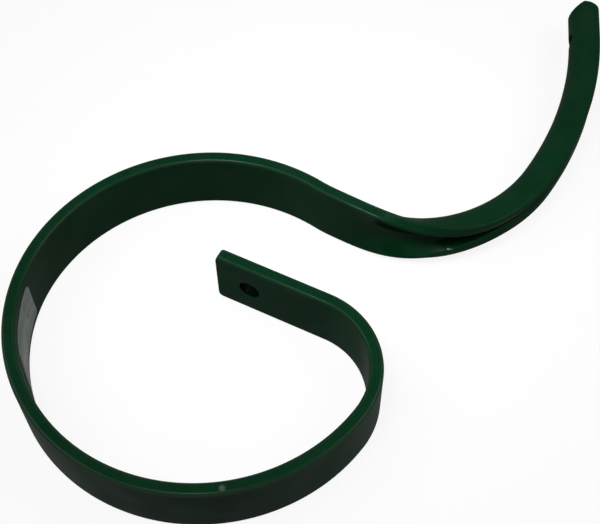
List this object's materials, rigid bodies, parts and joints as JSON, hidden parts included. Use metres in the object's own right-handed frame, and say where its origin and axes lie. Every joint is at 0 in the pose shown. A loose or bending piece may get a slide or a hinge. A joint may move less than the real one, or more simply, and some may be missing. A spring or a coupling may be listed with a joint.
{
  "type": "cultivator spring shank",
  "caption": "Flat spring steel bar bent into a coil spring with a straight bolted seat, and a leg folded lengthwise into a gutter down to a tip that carries the share.",
  "frame": {"origin": "middle of the frame bolt's hole, halfway through the bar's thickness and width", "axes": "+X along the straight seat towards the coil, +Y along the frame bolt, out of the seat's outer face, +Z across the bar's width, up as the shank lies on its side"},
  "size_m": [0.3123, 0.5454, 0.05],
  "materials": {
    "shank_paint": "deep gloss dark green enamel"
  },
  "bodies": {
    "root": {"spring_shank": "shank_paint"}
  },
  "joints": []
}
